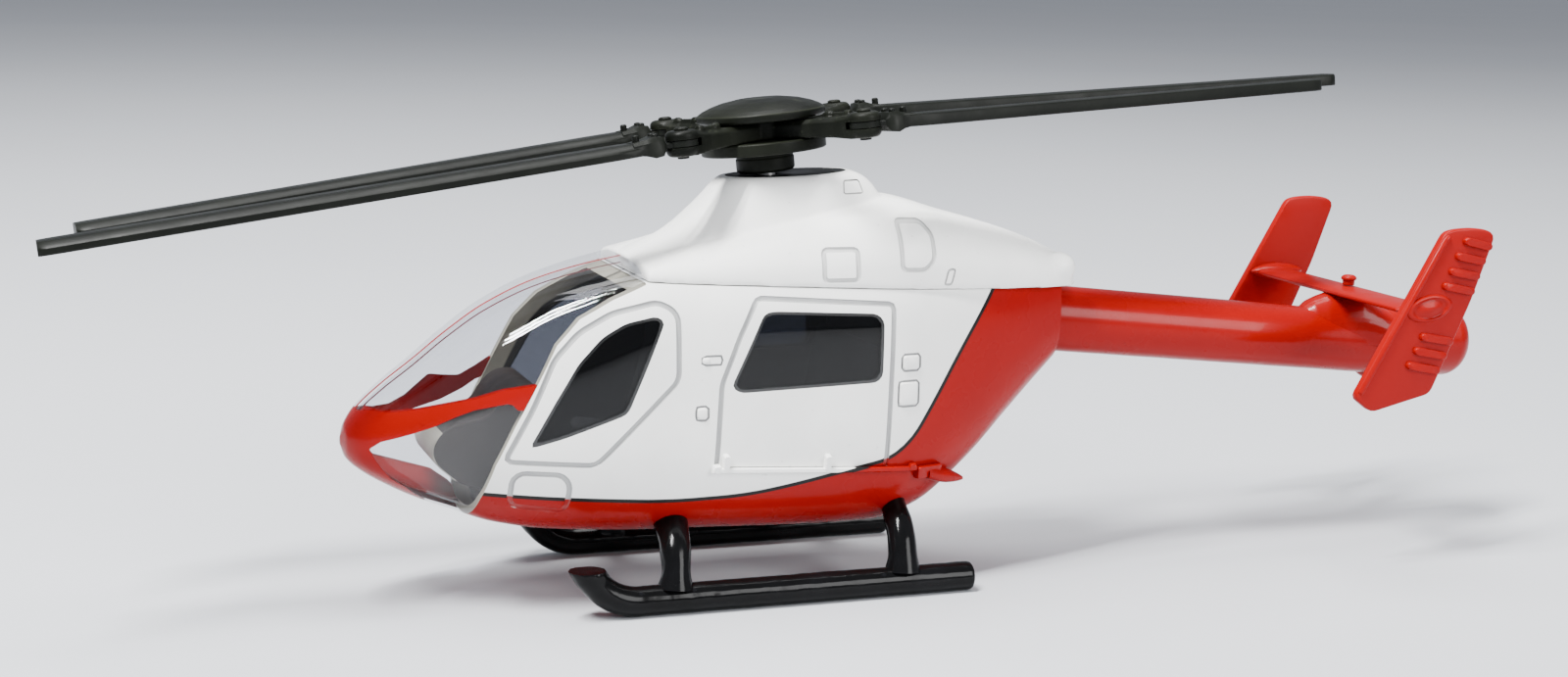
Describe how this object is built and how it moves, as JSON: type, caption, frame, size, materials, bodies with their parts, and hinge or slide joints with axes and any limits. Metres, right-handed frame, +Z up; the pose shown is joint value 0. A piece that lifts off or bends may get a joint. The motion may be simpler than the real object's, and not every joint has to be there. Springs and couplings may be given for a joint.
{
  "type": "helicopter scale model",
  "caption": "Display model of a light rescue helicopter with a clear nose, skids, end fins on its tail and a folding rotor.",
  "frame": {"origin": "middle of the overall length and width, on the ground under the skids", "axes": "+X towards the nose, +Y to the port side, +Z up"},
  "size_m": [0.2716, 0.0542, 0.0898],
  "materials": {
    "white_paint": "gloss",
    "red_paint": "gloss",
    "red_plastic": "gloss",
    "white_plastic": "gloss",
    "clear_plastic": "polished, clear",
    "tinted_plastic": "polished, dark tint",
    "black_plastic": "gloss",
    "dark_grey_plastic": "satin",
    "cabin_plastic": "matte",
    "zinc_steel": "zinc plated"
  },
  "bodies": {
    "fuselage": {"belly_pan": "red_paint", "belly_screw_front": "zinc_steel", "belly_screw_rear": "zinc_steel", "body_shell": "white_paint", "cabin_tub": "cabin_plastic", "door_rail_port": "white_plastic", "door_rail_starboard": "white_plastic", "fin_port": "red_plastic", "fin_starboard": "red_plastic", "front_leg_port": "black_plastic", "front_leg_starboard": "black_plastic", "front_window_port": "tinted_plastic", "front_window_starboard": "tinted_plastic", "instrument_panel": "cabin_plastic", "mast_plate": "dark_grey_plastic", "nose_canopy": "clear_plastic", "rail_fairing_port": "red_paint", "rail_fairing_starboard": "red_paint", "rear_bench": "cabin_plastic", "rear_leg_port": "black_plastic", "rear_leg_starboard": "black_plastic", "rear_window_port": "tinted_plastic", "rear_window_starboard": "tinted_plastic", "seat_port": "cabin_plastic", "seat_starboard": "cabin_plastic", "skid_port": "black_plastic", "skid_starboard": "black_plastic", "stabiliser": "red_plastic", "stabiliser_saddle": "red_paint", "tail_boom": "red_paint", "tail_light": "red_plastic", "thruster_drum": "red_paint", "upper_cowling": "white_paint"},
    "rotor": {"hinge_pin_front_port": "dark_grey_plastic", "hinge_pin_front_starboard": "dark_grey_plastic", "hinge_pin_rear_port": "dark_grey_plastic", "hinge_pin_rear_starboard": "dark_grey_plastic", "hub_cap": "dark_grey_plastic", "hub_cross": "dark_grey_plastic", "mast_sleeve": "dark_grey_plastic", "pin_clip": "zinc_steel", "rotor_pin": "zinc_steel", "swash_disc": "dark_grey_plastic"},
    "blade_front_port": {"blade_front_port": "dark_grey_plastic"},
    "blade_front_starboard": {"blade_front_starboard": "dark_grey_plastic"},
    "blade_rear_port": {"blade_rear_port": "dark_grey_plastic"},
    "blade_rear_starboard": {"blade_rear_starboard": "dark_grey_plastic"}
  },
  "joints": [
    {"name": "rotor_spin", "type": "hinge", "parent": "fuselage", "child": "rotor", "pos_m": [0.0142, 0, 0.0722], "axis": [0.1079, -0.0489, 0.993], "continuous": true},
    {"name": "front_port_blade_fold", "type": "hinge", "parent": "rotor", "child": "blade_front_port", "pos_m": [0.03261, 0.01197, 0.07079], "axis": [0.1079, -0.0489, 0.993], "range_deg": [0, 33.5]},
    {"name": "front_starboard_blade_fold", "type": "hinge", "parent": "rotor", "child": "blade_front_starboard", "pos_m": [0.02601, -0.01843, 0.07001], "axis": [0.1079, -0.0489, 0.993], "range_deg": [-60.1, 0]},
    {"name": "rear_port_blade_fold", "type": "hinge", "parent": "rotor", "child": "blade_rear_port", "pos_m": [0.00238, 0.01843, 0.07439], "axis": [0.1079, -0.0489, 0.993], "range_deg": [-69, 0]},
    {"name": "rear_starboard_blade_fold", "type": "hinge", "parent": "rotor", "child": "blade_rear_starboard", "pos_m": [-0.00421, -0.01197, 0.07361], "axis": [0.1079, -0.0489, 0.993], "range_deg": [0, 33.6]}
  ]
}
